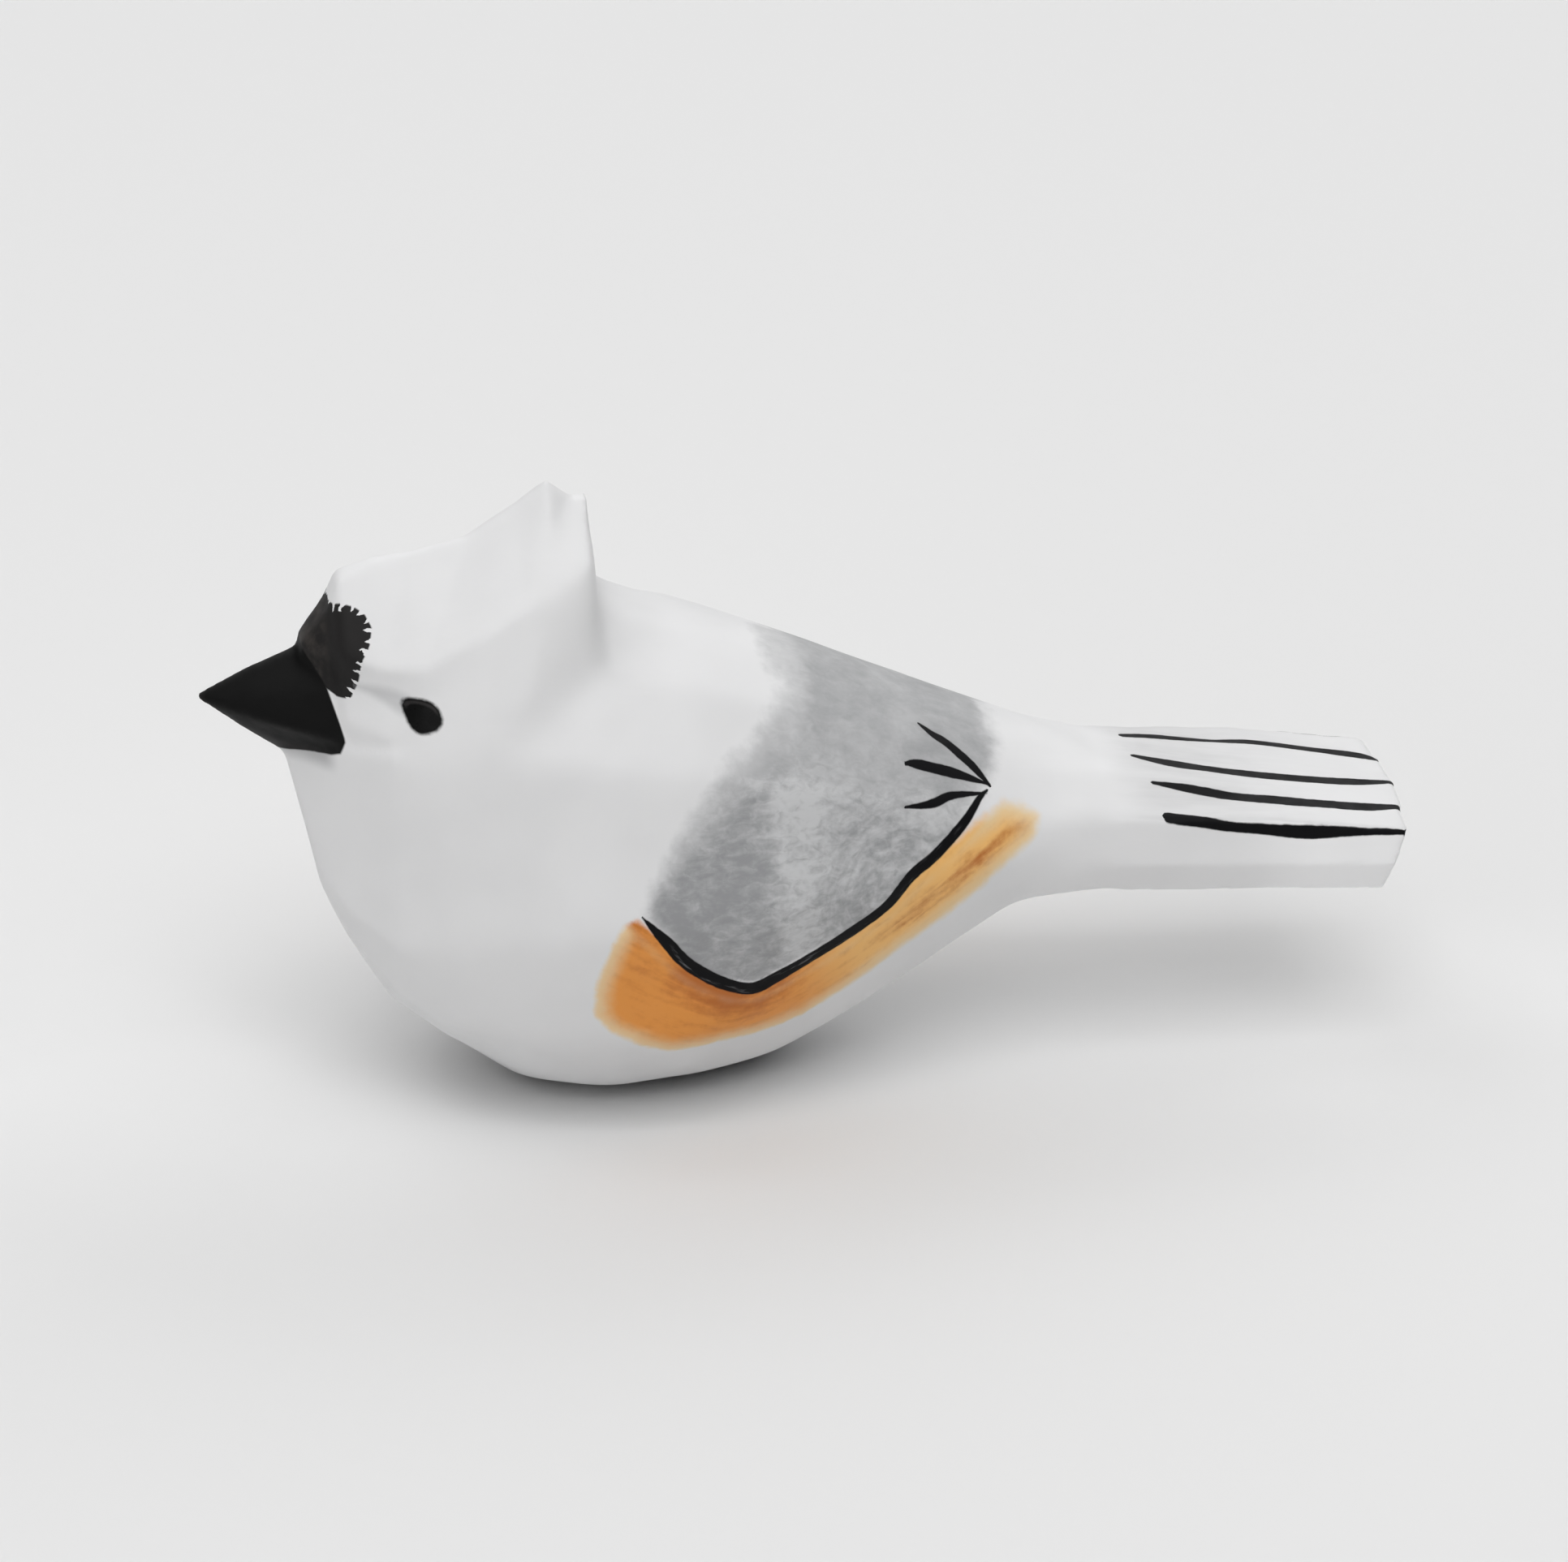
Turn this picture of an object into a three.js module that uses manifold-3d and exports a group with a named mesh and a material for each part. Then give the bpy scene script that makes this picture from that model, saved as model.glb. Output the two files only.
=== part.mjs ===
// A small crested songbird, whittled with a knife from one block of wood and painted.
// Millimetres, +Z up, beak towards -X, tail towards +X, mirrored about the plane Y = 0.
// The origin is the middle of the small flat under the belly, on which the bird rests.
import * as THREE from 'three';
import { mergeVertices } from 'three/addons/utils/BufferGeometryUtils.js';
import Module from 'manifold-3d';

const wasm = await Module();
wasm.setup();

// Driving dimensions of the body: the edges between its long knife-cut flats, from the top of the back
// down one side to the keel. Each edge is a list of [x, y, z] corners, straight between them.
const BODY_EDGES = {
  back: [[-28.4, 0.8, 28.4], [-21, 2.6, 36.2], [-3, 3.2, 41.2], [11, 2.1, 36], [37.5, 1.9, 24.9],
    [40.5, 1.5, 22.4]],
  upperShoulder: [[-28.4, 1.1, 28.3], [-26.4, 2, 29.8], [-23.5, 4.8, 31.5], [-12, 9.5, 36.3],
    [-6, 11, 37.4], [5, 9.8, 36.1], [31, 5.8, 26], [37.5, 5.4, 24.3], [40.5, 4, 21.6]],
  shoulder: [[-28.4, 1.3, 28], [-26.4, 2.4, 28.6], [-23.2, 6, 30.7], [-19, 11, 32.2], [-12, 14.4, 32.6],
    [-3, 15.6, 31.9], [3, 15.6, 31.3], [11, 15, 29], [31, 9.8, 23], [37.5, 9.3, 22.7], [40.5, 6.5, 20]],
  flank: [[-28.4, 1.3, 27], [-26.4, 3.2, 22], [-23, 8.4, 17.2], [-19.5, 12.4, 16], [-15.5, 15.4, 16.8],
    [-7, 18.7, 18.8], [0, 19.6, 19.6], [11, 18.4, 20.2], [31, 10.8, 20], [37.5, 9.5, 19.8], [40.5, 6.8, 19]],
  lowerFlank: [[-28.4, 1.4, 26.7], [-26.4, 3, 20.6], [-23, 7, 15], [-19.5, 10.4, 11], [-15.5, 13.4, 9.2],
    [-7, 16.8, 8.6], [0, 17.6, 8.6], [6, 17.4, 9.2], [31, 9.6, 16.6], [37.5, 9.4, 17], [40.5, 6.6, 18]],
  belly: [[-28.4, 1, 26.5], [-26.4, 2.2, 19.6], [-23, 4.6, 13.6], [-19.5, 6.4, 9], [-15.5, 8.6, 6.2],
    [-9.5, 10.8, 3.2], [-3, 11.6, 2.1], [5, 11.6, 2.8], [11, 10.8, 4], [18, 9.2, 6.9], [31, 7, 14.2],
    [37.5, 7.7, 15.2], [40.5, 5.6, 17]],
  keel: [[-28.4, 0.6, 26.4], [-26.4, 1.4, 19], [-23, 1.8, 12.4], [-19.5, 2.8, 7], [-15.5, 4, 4.2],
    [-9.5, 4.4, -0.1], [-6, 6.2, -0.3], [2, 6.4, -0.3], [9.5, 3.8, -0.2], [13, 2.6, 0.4], [31, 2.8, 13.2],
    [37.5, 2.8, 15], [40.5, 2.4, 16.6]],
};
const BODY_STATIONS = [-28.4, -26.4, -23, -19.5, -15.5, -9.5, -3, 4, 11, 18, 25, 31, 37.5, 40.5];

// The head, as stations along x. Each corner is [y, z]: ridge, brow, eye hollow, cheek and jaw.
const HEAD_STATIONS = [
  { x: -26.0, corners: [[1.5, 38.1], [1.7, 37.7], [1.4, 36.0], [1.4, 33.0], [1.2, 30.5]] },
  { x: -23.9, corners: [[1.7, 40.9], [4.2, 38.4], [3.6, 35.6], [4.2, 33.0], [4.0, 30.5]] },
  { x: -22.9, corners: [[1.3, 43.4], [5.8, 38.9], [5.2, 36.0], [6.0, 33.2], [5.4, 29.0]] },
  { x: -20.0, corners: [[0.8, 44.5], [7.6, 38.3], [7.4, 36.0], [9.2, 33.0], [8.4, 28.0]] },
  { x: -17.0, corners: [[0.5, 45.0], [9.2, 38.6], [9.8, 36.2], [11.4, 33.2], [10.2, 28.0]] },
  { x: -12.3, corners: [[0.4, 46.1], [9.8, 41.4], [12.0, 37.0], [13.9, 33.4], [13.0, 28.0]] },
  { x: -8.6, corners: [[0.4, 48.5], [9.0, 43.4], [11.9, 37.4], [13.6, 33.4], [13.0, 28.0]] },
  { x: -6.0, corners: [[0.4, 50.5], [8.4, 44.9], [11.0, 37.6], [12.4, 33.0], [12.0, 28.0]] },
  { x: -4.0, corners: [[0.4, 48.9], [7.9, 45.9], [9.8, 38.2], [10.4, 34.0], [9.4, 28.0]] },
  { x: -2.7, corners: [[0.3, 49.3], [7.4, 46.5], [9.2, 38.6], [9.4, 34.0], [8.4, 28.0]] },
];

// The beak, a pointed wedge: its tip, and the corners of its base as [x, y, z], top ridge first.
const BEAK_TIP = [-34.6, 0.25, 33.6];
const BEAK_BASE = [[-25.7, 0.5, 37.6], [-23.8, 4.0, 35.4], [-22.9, 6.0, 31.4], [-25.4, 2.6, 29.0],
  [-27.4, 0.7, 28.5]];
const BEAK_ROOT_DEPTH = 3;
const BEAK_STEPS = [0, 0.5, 0.85, 1];
const BEAK_SWELL = 0.06;

// The tail, a flat blade drooping towards its end. Each side swells to a low edge, then turns under.
const TAIL_END = 63.7;
const TAIL_HALF_WIDTH = 9.2;
// Corners of [x, top, underside, fall from the crown to the edge].
const TAIL_PROFILE = [[30, 26.2, 15.6, 3], [41.5, 23.7, 15.3, 1.7], [52, 21.9, 14.7, 0.6],
  [66, 19.4, 13.8, 0.2]];
const TAIL_CROWN_HALF_WIDTH = 4.2;
const TAIL_LOW_EDGE_RISE = 2.9;
const TAIL_LOW_EDGE_HALF_WIDTH = 10;
const TAIL_UNDER_HALF_WIDTH = 8.7;
const TAIL_STATIONS = [30, 41, 52, 66];
// The end is two knife cuts that meet on the middle plane, leaning under, in degrees.
const TAIL_END_UNDERCUT = 18;
const TAIL_END_YAW = 5;

// Two knife cuts down the front of the breast, which meet in a low edge, as degrees from upright.
const BREAST_EDGE = [-25.1, 0, 18.4];
const BREAST_CUT_PITCHES = [-13, -23];
const KNIFE_SIZE = 120;

const WOOD_COLOUR = 0xe9e9ea;

// Corners closer together than this are one corner.
const WELD_DISTANCE = 1e-5;

const degrees = THREE.MathUtils.degToRad;

// The point at x on a line whose corners are [x, ...values], straight between them.
function pointAt(line, x) {
  const last = Math.max(1, line.findIndex((corner) => x <= corner[0]));
  const [start, end] = [line[last - 1], line[last]];
  const share = (x - start[0]) / (end[0] - start[0]);
  return start.map((value, axis) => value + (end[axis] - value) * share);
}

// Turns a closed geometry into a solid that can be cut and joined.
function solidFrom(geometry) {
  const bare = geometry.clone();
  bare.deleteAttribute('normal');
  bare.deleteAttribute('uv');
  const merged = mergeVertices(bare, WELD_DISTANCE);
  return new wasm.Manifold(new wasm.Mesh({
    numProp: 3,
    vertProperties: new Float32Array(merged.attributes.position.array),
    triVerts: new Uint32Array(merged.index.array),
  }));
}

function geometryFrom(solid) {
  const mesh = solid.getMesh();
  const geometry = new THREE.BufferGeometry();
  geometry.setAttribute('position', new THREE.BufferAttribute(new Float32Array(mesh.vertProperties), 3));
  geometry.setIndex(new THREE.BufferAttribute(new Uint32Array(mesh.triVerts), 1));
  geometry.computeVertexNormals();
  return geometry;
}

// A ring runs down the +Y side from top to bottom and back up the -Y side.
function mirroredRing(halfRing) {
  const left = halfRing.map(([x, y, z]) => [x, y, z]);
  const right = halfRing.map(([x, y, z]) => [x, -y, z]).reverse();
  return [...left, ...right];
}

// Skins a row of rings, each with as many corners, and closes both ends with a fan.
function loft(halfRings) {
  const rings = halfRings.map(mirroredRing);
  const count = rings[0].length;
  const positions = rings.flat(2);
  const triangles = [];
  for (let r = 0; r + 1 < rings.length; r += 1) {
    for (let i = 0; i < count; i += 1) {
      const a = r * count + i;
      const b = r * count + ((i + 1) % count);
      const c = a + count;
      const d = b + count;
      if (i < count / 2) {
        triangles.push(a, c, b, b, c, d);
      } else {
        triangles.push(a, d, b, a, c, d);
      }
    }
  }
  const last = (rings.length - 1) * count;
  for (let i = 1; i + 1 < count; i += 1) {
    triangles.push(0, i, i + 1);
    triangles.push(last, last + i + 1, last + i);
  }
  const geometry = new THREE.BufferGeometry();
  geometry.setAttribute('position', new THREE.Float32BufferAttribute(positions, 3));
  geometry.setIndex(triangles);
  return solidFrom(geometry);
}

function makeBody() {
  const rings = BODY_STATIONS.map((x) => Object.values(BODY_EDGES).map((edge) => pointAt(edge, x)));
  return BREAST_CUT_PITCHES.reduce((solid, pitch) => knifeCut(solid, BREAST_EDGE, { pitch }), loft(rings));
}

function makeHead() {
  return loft(HEAD_STATIONS.map(({ x, corners }) => corners.map(([y, z]) => [x, y, z])));
}

// The beak runs from inside the face to its tip, swelling a little on the way.
function makeBeak() {
  const root = BEAK_BASE.map(([x, y, z]) => [x + BEAK_ROOT_DEPTH, y, z]);
  const rings = BEAK_STEPS.map((step) => BEAK_BASE.map((corner) => {
    const swell = 1 + BEAK_SWELL * Math.sin(Math.PI * step);
    return corner.map((value, axis) => {
      const straight = value + (BEAK_TIP[axis] - value) * step;
      const centre = axis === 2 ? BEAK_TIP[2] : 0;
      return axis === 0 ? straight : centre + (straight - centre) * swell;
    });
  }));
  return loft([...rings.reverse(), root]);
}

function tailStation(x) {
  const [, top, under, crown] = pointAt(TAIL_PROFILE, x);
  const edge = top - crown;
  return [
    [x, TAIL_CROWN_HALF_WIDTH, top],
    [x, TAIL_HALF_WIDTH, edge],
    [x, TAIL_LOW_EDGE_HALF_WIDTH, under + TAIL_LOW_EDGE_RISE],
    [x, TAIL_UNDER_HALF_WIDTH, under],
  ];
}

// A block whose +X face lies on the cutting plane at the origin, turned and moved to the cut, taken off.
function knifeCut(solid, point, { yaw = 0, pitch = 0 }) {
  const block = new THREE.BoxGeometry(KNIFE_SIZE, KNIFE_SIZE, KNIFE_SIZE);
  block.translate(-KNIFE_SIZE / 2, 0, 0);
  block.rotateY(degrees(pitch));
  block.rotateZ(degrees(yaw));
  block.translate(...point);
  return solid.subtract(solidFrom(block));
}

function makeTail() {
  const blade = loft(TAIL_STATIONS.map(tailStation));
  const tip = [TAIL_END, 0, pointAt(TAIL_PROFILE, TAIL_END)[1]];
  const facingBack = 180;
  return [-TAIL_END_YAW, TAIL_END_YAW].reduce((solid, yaw) => (
    knifeCut(solid, tip, { yaw: facingBack + yaw, pitch: -TAIL_END_UNDERCUT })), blade);
}

// The last cut, level at the origin, leaves the flat that the bird rests on.
function makeBird() {
  const whole = makeBody().add(makeHead()).add(makeTail()).add(makeBeak());
  const facingDown = -90;
  return knifeCut(whole, [0, 0, 0], { pitch: facingDown });
}

const paintedWood = new THREE.MeshStandardMaterial({ color: WOOD_COLOUR, roughness: 0.6, metalness: 0 });
paintedWood.name = 'painted_wood';

const bird = new THREE.Mesh(geometryFrom(makeBird()), paintedWood);
bird.name = 'carved_bird';

const figurine = new THREE.Group();
figurine.add(bird);

export default figurine;
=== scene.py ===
# %% [markdown]
# # A whittled and painted songbird
# The real object is one small block of wood. Someone cut it to a bird with a knife, brushed it
# white, and painted a beak, an eye, grey wings, a rust flank and a few black feather lines on top.
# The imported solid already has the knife's large flats, so this script softens it, lays the paint
# on as measured distances, and sets up a pale studio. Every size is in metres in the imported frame:
# the beak points to -X, the tail to +X, and +Z is up.

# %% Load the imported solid
import math

import bpy
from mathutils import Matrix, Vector


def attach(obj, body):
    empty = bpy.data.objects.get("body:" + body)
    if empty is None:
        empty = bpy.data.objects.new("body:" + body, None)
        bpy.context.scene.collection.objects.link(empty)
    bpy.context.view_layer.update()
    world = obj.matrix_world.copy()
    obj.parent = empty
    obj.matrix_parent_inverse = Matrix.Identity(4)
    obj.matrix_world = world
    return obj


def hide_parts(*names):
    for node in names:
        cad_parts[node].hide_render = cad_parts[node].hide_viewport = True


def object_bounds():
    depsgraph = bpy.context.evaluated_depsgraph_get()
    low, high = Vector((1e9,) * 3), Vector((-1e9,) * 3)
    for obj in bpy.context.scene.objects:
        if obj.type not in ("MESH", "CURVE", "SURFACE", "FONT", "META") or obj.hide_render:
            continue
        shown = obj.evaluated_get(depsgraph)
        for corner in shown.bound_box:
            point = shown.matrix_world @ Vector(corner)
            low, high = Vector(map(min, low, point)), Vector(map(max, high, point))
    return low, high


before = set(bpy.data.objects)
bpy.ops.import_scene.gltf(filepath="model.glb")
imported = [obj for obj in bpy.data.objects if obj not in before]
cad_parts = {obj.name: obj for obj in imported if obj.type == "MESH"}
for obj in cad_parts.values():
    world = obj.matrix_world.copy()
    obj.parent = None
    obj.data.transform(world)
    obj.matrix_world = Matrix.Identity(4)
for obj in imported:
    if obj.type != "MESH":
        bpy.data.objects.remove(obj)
cad_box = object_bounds()
MM = 0.001
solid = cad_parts["carved_bird"]
bird_size = cad_box[1] - cad_box[0]
print("bird in mm:", [round(side / MM, 1) for side in bird_size])

# %% [markdown]
# ## Helpers for node trees
# Node trees are usually wired by hand. In a script, short helpers keep each wire readable: one adds
# any node and fills its inputs by name, and the others each add a step of arithmetic.
# An input takes either a plain value or the output of an earlier node.

# %% Node helpers
def fill(tree, socket, value):
    if isinstance(value, bpy.types.NodeSocket):
        tree.links.new(value, socket)
    else:
        socket.default_value = value


def add(tree, kind, values=None, **settings):
    node = tree.nodes.new(kind)
    for name, setting in settings.items():
        setattr(node, name, setting)
    for key, value in (values or {}).items():
        fill(tree, node.inputs[key], value)
    return node


def maths(tree, operation, *values):
    node = add(tree, "ShaderNodeMath", operation=operation)
    for socket, value in zip(node.inputs, values):
        fill(tree, socket, value)
    return node.outputs[0]


def chain(tree, operation, first, *others):
    for other in others:
        first = maths(tree, operation, first, other)
    return first


def times(tree, *values):
    return chain(tree, "MULTIPLY", *values)


def plus(tree, *values):
    return chain(tree, "ADD", *values)


def minus(tree, *values):
    return chain(tree, "SUBTRACT", *values)


def largest(tree, *values):
    return chain(tree, "MAXIMUM", *values)


# %% [markdown]
# Places and directions are vectors, which have nodes of their own. A smooth ramp between two limits
# is the other tool that comes back all the time, because paint and wood seldom change abruptly.

# %% Vector and ramp helpers
def vector_maths(tree, operation, *values):
    node = add(tree, "ShaderNodeVectorMath", operation=operation)
    inputs_used = (0, 3) if operation == "SCALE" else (0, 1, 2)
    for index, value in zip(inputs_used, values):
        fill(tree, node.inputs[index], value)
    return node.outputs["Value" if operation in ("DOT_PRODUCT", "LENGTH") else "Vector"]


def split(tree, vector):
    return add(tree, "ShaderNodeSeparateXYZ", {0: vector}).outputs


def join(tree, x, y, z):
    return add(tree, "ShaderNodeCombineXYZ", {0: x, 1: y, 2: z}).outputs[0]


def in_mm(tree, vector):
    return vector_maths(tree, "SCALE", vector, 1 / MM)


def smooth_ramp(tree, value, start, end, low=0.0, high=1.0):
    return add(tree, "ShaderNodeMapRange", {
        "Value": value, "From Min": start, "From Max": end, "To Min": low, "To Max": high},
        interpolation_type="SMOOTHSTEP").outputs[0]


# %% [markdown]
# A Geometry Nodes tree is a small machine with named inputs. Each one here takes the bird in and
# gives it back, with Realize Instances and Set Material last, so that what leaves it is plain,
# painted mesh. A modifier's input is set by its identifier, because names may be used twice.

# %% Tree helpers
paint = bpy.data.materials.new("brushed_bird_paint")


def new_tree(name, inputs):
    tree = bpy.data.node_groups.new(name, "GeometryNodeTree")
    tree.interface.new_socket("Bird", in_out="INPUT", socket_type="NodeSocketGeometry")
    for label, kind in inputs:
        tree.interface.new_socket(label, in_out="INPUT", socket_type=f"NodeSocket{kind}")
    tree.interface.new_socket("Bird", in_out="OUTPUT", socket_type="NodeSocketGeometry")
    return tree, tree.nodes.new("NodeGroupInput").outputs


def close_tree(tree, shape):
    real = add(tree, "GeometryNodeRealizeInstances", {"Geometry": shape}).outputs[0]
    painted = add(tree, "GeometryNodeSetMaterial", {"Geometry": real, "Material": paint}).outputs[0]
    add(tree, "NodeGroupOutput", {"Bird": painted})
    return tree


def keep_number(tree, shape, name, value, kind="FLOAT"):
    """Stores one number, or one vector, on each point of the shape."""
    return add(tree, "GeometryNodeStoreNamedAttribute", {"Geometry": shape, "Name": name, "Value": value},
               data_type=kind, domain="POINT").outputs[0]


def use_tree(piece, tree, values):
    modifier = piece.modifiers.new(tree.name, "NODES")
    modifier.node_group = tree
    for item in tree.interface.items_tree:
        if item.in_out == "INPUT" and item.name in values:
            modifier[item.identifier] = values[item.name]


def apply_all(piece):
    """Turns what the modifiers show into the piece's own plain mesh."""
    shown = bpy.context.evaluated_depsgraph_get()
    mesh = bpy.data.meshes.new_from_object(
        piece.evaluated_get(shown), preserve_all_data_layers=True, depsgraph=shown)
    piece.modifiers.clear()
    piece.data = mesh
    return len(mesh.polygons)


# %% [markdown]
# ## A finer copy of the solid
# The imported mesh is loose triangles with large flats, too coarse to soften or to carry fine paint.
# A copy is welded first. A voxel remesh then covers it with even small faces, which keeps
# the form, closes every seam where the parts of the carving meet, and suits smoothing. The face
# size is about the finest that keeps the piece under 200,000 triangles.

# %% Copy, weld and remesh
FACE_SIZE = 0.355 * MM
WELD = 0.001 * MM

bird = solid.copy()
bird.data = solid.data.copy()
bird.name = "painted_bird"
for key in list(bird.keys()):
    del bird[key]
bird.parent = None
bpy.context.scene.collection.objects.link(bird)

weld = bird.modifiers.new("weld", "WELD")
weld.merge_threshold = WELD
remesh = bird.modifiers.new("even faces", "REMESH")
remesh.mode = "VOXEL"
remesh.voxel_size = FACE_SIZE
print("even faces:", apply_all(bird))

# %% [markdown]
# ## Soft facets and knife scoops
# Paint fills the sharp edges between knife cuts, so the breast and back look gently rounded,
# while the beak, the crest and the tail keep crisper edges. Blurring each point's position
# with its neighbours' rounds an edge, and a weight says how much. Shallow scoops, each
# a few millimetres wide, are what a knife leaves, and they come from a cell pattern.

# %% Where the body is soft
# Each pair is where the change starts and ends, in mm: first along the bird, then upwards.
FACE_TO_BREAST = (-20, -12)
HEAD_JOINT = (-8, -4.5)
BEHIND_HEAD = (-3, 1)
BODY_TO_TAIL = (40, 34)
HEAD_TO_BODY = (37, 33)
BELOW_CREST = (49, 45.5)


def softness(tree, place):
    """1 on the body, 0 on the head, the crest and the tail."""
    along, _, height = split(tree, in_mm(tree, place))
    head_joint = times(tree, smooth_ramp(tree, along, *HEAD_JOINT), smooth_ramp(tree, height, *BELOW_CREST))
    soft_part = largest(tree, smooth_ramp(tree, height, *HEAD_TO_BODY),
                        smooth_ramp(tree, along, *BEHIND_HEAD), head_joint)
    return times(tree, smooth_ramp(tree, along, *FACE_TO_BREAST),
                 smooth_ramp(tree, along, *BODY_TO_TAIL), soft_part)


# %% The whittled surface tree
SCOOP_BLEND = 0.25
SCOOP_LEVEL = 0.6


def blur(tree, shape, rounds, weight):
    place = add(tree, "GeometryNodeInputPosition").outputs[0]
    spread = add(tree, "GeometryNodeBlurAttribute", {"Weight": weight, "Iterations": rounds},
                 data_type="FLOAT_VECTOR")
    fill(tree, next(s for s in spread.inputs if s.name == "Value" and s.enabled), place)
    value = next(s for s in spread.outputs if s.enabled)
    return add(tree, "GeometryNodeSetPosition", {"Geometry": shape, "Position": value}).outputs[0]


def whittle_tree():
    tree, given = new_tree("whittled surface", [
        ("Body Rounds", "Int"), ("Edge Rounds", "Int"), ("Scoop Size", "Float"), ("Scoop Depth", "Float")])
    place = add(tree, "GeometryNodeInputPosition").outputs[0]
    outward = add(tree, "GeometryNodeInputNormal").outputs["Normal"]
    crisp = blur(tree, given["Bird"], given["Edge Rounds"], 1.0)
    softened = blur(tree, crisp, given["Body Rounds"], softness(tree, place))

    cells = add(tree, "ShaderNodeTexVoronoi", {
        "Vector": place, "Scale": maths(tree, "DIVIDE", 1, given["Scoop Size"]),
        "Smoothness": SCOOP_BLEND}, feature="SMOOTH_F1")
    from_middle = maths(tree, "MINIMUM", cells.outputs["Distance"], 1)
    scoop = times(tree, minus(tree, from_middle, SCOOP_LEVEL), given["Scoop Depth"])
    scooped = add(tree, "GeometryNodeSetPosition", {
        "Geometry": softened, "Offset": vector_maths(tree, "SCALE", outward, scoop)}).outputs[0]

    x, y, z = split(tree, place)
    above_table = join(tree, x, y, largest(tree, z, 0))
    rested = add(tree, "GeometryNodeSetPosition", {"Geometry": scooped, "Position": above_table}).outputs[0]
    return close_tree(tree, keep_number(tree, rested, "facing_up", split(tree, outward)[2]))


# %% Whittle
use_tree(bird, whittle_tree(), {
    "Body Rounds": 37, "Edge Rounds": 3, "Scoop Size": 6.5 * MM, "Scoop Depth": 0.16 * MM})
print("whittled faces:", apply_all(bird))
for face in bird.data.polygons:
    face.use_smooth = True

# %% [markdown]
# ## Drawing the paint
# A painter sees the bird from the side and from above, so the marks are drawn in those two views,
# in millimetres. Side view points are (x, z) and top view points are (x, y). A stroke also has
# half its width at each point, because a brush presses harder in the middle than at its ends.

# %% Strokes on the side
WING_LINE = [
    (-0.8, 20.6, 0.08), (0.9, 18.6, 0.5), (2.5, 16.5, 0.57), (4.7, 14.7, 0.58), (6.9, 13.5, 0.58),
    (8.4, 13.2, 0.64), (10, 13.8, 0.62), (12.8, 15, 0.53), (15.9, 16.5, 0.55), (19, 18.3, 0.52),
    (21.2, 20.6, 0.5), (23.5, 21.9, 0.46), (25.7, 23.5, 0.42), (27.4, 24.9, 0.27), (28.2, 25.2, 0.12)]
FEATHERS = {
    "upper_feather": [
        (23.3, 29.7, 0.16), (24.3, 29, 0.38), (25.4, 28.3, 0.44), (27.2, 26.8, 0.42), (28.4, 25.5, 0.16)],
    "middle_feather": [
        (21.6, 28.2, 0.2), (22.4, 28, 0.46), (23.7, 27.5, 0.52), (25.7, 26.7, 0.5), (28.2, 25.6, 0.14)],
    "lower_feather": [
        (21.1, 25.8, 0.12), (23.3, 25.5, 0.37), (25.1, 25.6, 0.35), (28, 25.1, 0.12)],
}
# The middle of the rust patch, which gives its brush marks their direction.
RUST_SWEEP = [
    (-3.2, 15.2, 1), (1.6, 12.2, 1), (7.4, 10.4, 1), (14, 12.6, 1), (20.4, 16.4, 1), (26, 19.9, 1),
    (31.6, 22.8, 1)]
# The ragged edge of the dark forehead, over the crown and down to the cheek.
FOREHEAD_EDGE = [
    (-23.6, 41.6, 1), (-22.8, 42, 1), (-21.9, 41.9, 1), (-21, 41.5, 1), (-20.5, 40.7, 1),
    (-20.8, 39.6, 1), (-21.4, 38.7, 1), (-21.6, 37.8, 1), (-21.8, 36.6, 1), (-22.4, 35.2, 1)]
# Painted shade in the hollow between the forehead and the eye.
EYE_HOLLOW_SHADE = [(-22, 36.3, 0.1), (-20.4, 36.2, 0.45), (-18.9, 35.9, 0.75), (-18, 35.6, 0.7)]
print("side strokes:", 4 + len(FEATHERS))

# %% Strokes on the tail
TAIL_LINES = {
    "tail_line_1": [
        (41.6, 3.4, 0.35), (45.7, 4.1, 0.58), (50, 4.7, 0.6), (53.8, 5, 0.64), (57.6, 4.6, 0.6),
        (61.4, 4.5, 0.7), (63, 3.9, 0.2)],
    "tail_line_2": [
        (41.8, -0.7, 0.3), (44.6, -1.4, 0.66), (47.9, -1.8, 0.58), (51.9, -1.9, 0.68), (56, -1.8, 0.64),
        (60.2, -1.2, 0.6), (63.3, -0.4, 0.3)],
    "tail_line_3": [
        (42.5, -5, 0.2), (45.2, -5.3, 0.5), (48.5, -5.7, 0.55), (52.4, -6.1, 0.66), (56.4, -6, 0.6),
        (60.1, -5.7, 0.62), (63.2, -5.1, 0.3)],
}
# Two more run just under the edges between the top and the sides, so their points have x, y and z.
EDGE_LINES = {
    "tail_line_4": [
        (43.2, -8.9, 22, 0.54), (45.5, -9.2, 21.6, 0.52), (47.8, -9.3, 21, 0.42), (51, -9.4, 20.6, 0.46),
        (54.5, -9.4, 20.1, 0.57), (58.5, -9.3, 19.8, 0.36), (63, -9.2, 19.5, 0.22)],
    "tail_line_5": [
        (45.7, 9.2, 20.8, 0.42), (51, 9.2, 20.4, 0.46), (54.5, 9.2, 20, 0.5), (56.5, 9.2, 20.25, 0.42),
        (59.5, 9.2, 19.85, 0.4), (61.5, 9.2, 19.45, 0.36), (63, 9.2, 18.9, 0.22)],
}
print("tail lines:", len(TAIL_LINES) + len(EDGE_LINES))

# %% [markdown]
# The areas are outlines in the side view. Where an area ends at a stroke, it takes the stroke's own
# points, so that no white gap is left between them. The wing goes up past the back's middle.

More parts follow.
